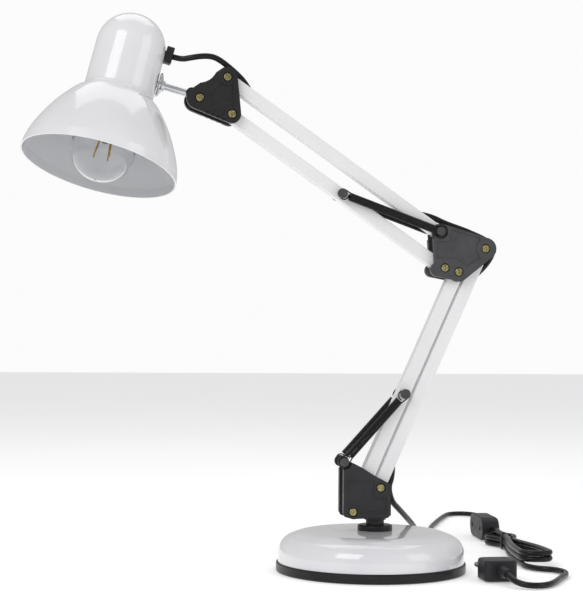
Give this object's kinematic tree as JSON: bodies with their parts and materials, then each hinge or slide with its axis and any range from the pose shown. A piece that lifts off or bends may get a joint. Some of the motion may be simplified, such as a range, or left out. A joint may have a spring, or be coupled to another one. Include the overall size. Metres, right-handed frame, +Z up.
{
  "type": "swing arm desk lamp",
  "caption": "Desk lamp on a round weighted base, with two sprung parallel-bar arms, a moulded elbow and a bell-shaped tilting shade.",
  "frame": {"origin": "centre of the base's underside, on the surface it stands on", "axes": "+Z up; the arms lie in the XZ plane, the head reaches towards -X and the hinge pins run along Y"},
  "size_m": [0.5672, 0.5753, 0.5231],
  "materials": {
    "black_ring": "smooth semi-gloss black moulding",
    "white_paint": "glossy white enamel over pressed steel",
    "iron": "raw cast weight, out of sight",
    "foam": "black foam foot disc",
    "black_plastic": "fine-textured black moulded plastic",
    "steel": "plain steel",
    "white_bar": "glossy white paint on square steel tube",
    "brass": "yellow zinc plated screw heads",
    "black_knob": "black moulded caps",
    "spring_black": "black finished spring wire",
    "chrome": "bright plated steel",
    "holder_plastic": "pale heat resistant moulding",
    "clear_glass": "clear thin glass",
    "mount_glass": "clear glass",
    "filament": "yellow coated light strips",
    "lamp_cap": "plain screw cap",
    "cord": "smooth black round cord sheath",
    "shade_paint": "glossy white outside, white inside"
  },
  "bodies": {
    "base": {"base_ring": "black_ring", "base_cover": "white_paint", "base_weight": "iron", "base_pad": "foam", "socket_collar": "black_plastic"},
    "foot_bracket": {"spindle": "steel", "base_bracket_near": "black_plastic", "base_bracket_far": "black_plastic", "base_screws": "brass", "base_nuts": "steel", "base_spring_pins": "black_knob", "foot_cord": "cord", "supply_cord_lamp_side": "cord", "supply_cord_middle": "cord", "supply_cord_plug_side": "cord", "cord_hank": "cord", "cord_tie": "black_plastic", "inline_switch_body": "black_plastic", "plug_body": "black_plastic", "plug_pins": "steel"},
    "switch_rocker": {"inline_switch_rocker": "black_plastic"},
    "rear_bar": {"lower_bar_rear": "white_bar"},
    "front_bar": {"lower_bar_front": "white_bar", "lower_spring_pin": "black_knob", "lower_springs": "spring_black"},
    "elbow": {"elbow_near": "black_plastic", "elbow_far": "black_plastic", "elbow_screws": "brass", "elbow_nuts": "steel", "elbow_spring_pin": "black_knob", "elbow_cord_upper": "cord", "elbow_cord_lower": "cord"},
    "top_bar": {"upper_bar_top": "white_bar"},
    "bottom_bar": {"upper_bar_bottom": "white_bar", "upper_spring_pin": "black_knob", "upper_springs": "spring_black"},
    "head_bracket": {"head_bracket_near": "black_plastic", "head_bracket_far": "black_plastic", "head_screws": "brass", "head_nuts": "steel", "head_clamp_bolt": "brass", "head_cord_end": "cord"},
    "wing_nut": {"head_wing_nut": "steel"},
    "stem": {"stem_block": "black_plastic", "stem_rod": "chrome", "stem_washer": "chrome", "stem_nut": "chrome", "head_cord_rear": "cord"},
    "shade": {"shade": "shade_paint", "cord_grommet": "black_plastic", "holder_plate": "steel", "lamp_holder": "holder_plastic", "bulb_cap": "lamp_cap", "bulb_glass": "clear_glass", "bulb_mount": "mount_glass", "bulb_filaments": "filament", "head_cord_front": "cord"}
  },
  "joints": [
    {"name": "base_swivel", "type": "hinge", "parent": "base", "child": "foot_bracket", "pos_m": [0.004, 0, 0.0438], "axis": [0, 0, 1], "range_deg": [-170, 170]},
    {"name": "lower_arm", "type": "hinge", "parent": "foot_bracket", "child": "rear_bar", "pos_m": [0.0067, 0, 0.0791], "axis": [0, -1, 0], "range_deg": [-3, 55], "deforming": ["foot_cord"]},
    {"name": "lower_arm_front", "type": "hinge", "parent": "foot_bracket", "child": "front_bar", "pos_m": [-0.01997, 0, 0.05644], "axis": [0, -1, 0], "range_deg": [-3, 55], "deforming": ["lower_springs"]},
    {"name": "elbow_level", "type": "hinge", "parent": "rear_bar", "child": "elbow", "pos_m": [0.10878, 0, 0.30731], "axis": [0, -1, 0], "range_deg": [-55, 3], "deforming": ["elbow_cord_lower"]},
    {"name": "upper_arm", "type": "hinge", "parent": "elbow", "child": "top_bar", "pos_m": [0.064, 0, 0.323], "axis": [0, -1, 0], "range_deg": [-24, 50], "deforming": ["elbow_cord_upper"]},
    {"name": "upper_arm_bottom", "type": "hinge", "parent": "elbow", "child": "bottom_bar", "pos_m": [0.06845, 0, 0.28828], "axis": [0, -1, 0], "range_deg": [-24, 50], "deforming": ["upper_springs"]},
    {"name": "head_level", "type": "hinge", "parent": "top_bar", "child": "head_bracket", "pos_m": [-0.14253, 0, 0.46388], "axis": [0, -1, 0], "range_deg": [-50, 24], "deforming": ["head_cord_end"]},
    {"name": "head_tilt", "type": "hinge", "parent": "head_bracket", "child": "stem", "pos_m": [-0.1684, 0, 0.4436], "axis": [0, -1, 0], "range_deg": [-28, 40], "deforming": ["head_cord_rear"]},
    {"name": "shade_roll", "type": "hinge", "parent": "stem", "child": "shade", "pos_m": [-0.23887, 0, 0.46453], "axis": [0.9677, 0, -0.2521], "range_deg": [-50, 50], "deforming": ["head_cord_front"]},
    {"name": "wing_nut_turn", "type": "hinge", "parent": "head_bracket", "child": "wing_nut", "pos_m": [-0.1684, 0.015, 0.4436], "axis": [0, 1, 0], "range_deg": [-180, 180]},
    {"name": "switch_rock", "type": "hinge", "parent": "foot_bracket", "child": "switch_rocker", "pos_m": [0.18843, 0.2224, 0.013], "axis": [0, 0, 1], "range_deg": [0, 8]}
  ],
  "couplings": [
    {"joint": "lower_arm_front", "follows": "lower_arm", "ratio": 1},
    {"joint": "elbow_level", "follows": "lower_arm", "ratio": -1},
    {"joint": "upper_arm_bottom", "follows": "upper_arm", "ratio": 1},
    {"joint": "head_level", "follows": "upper_arm", "ratio": -1}
  ]
}
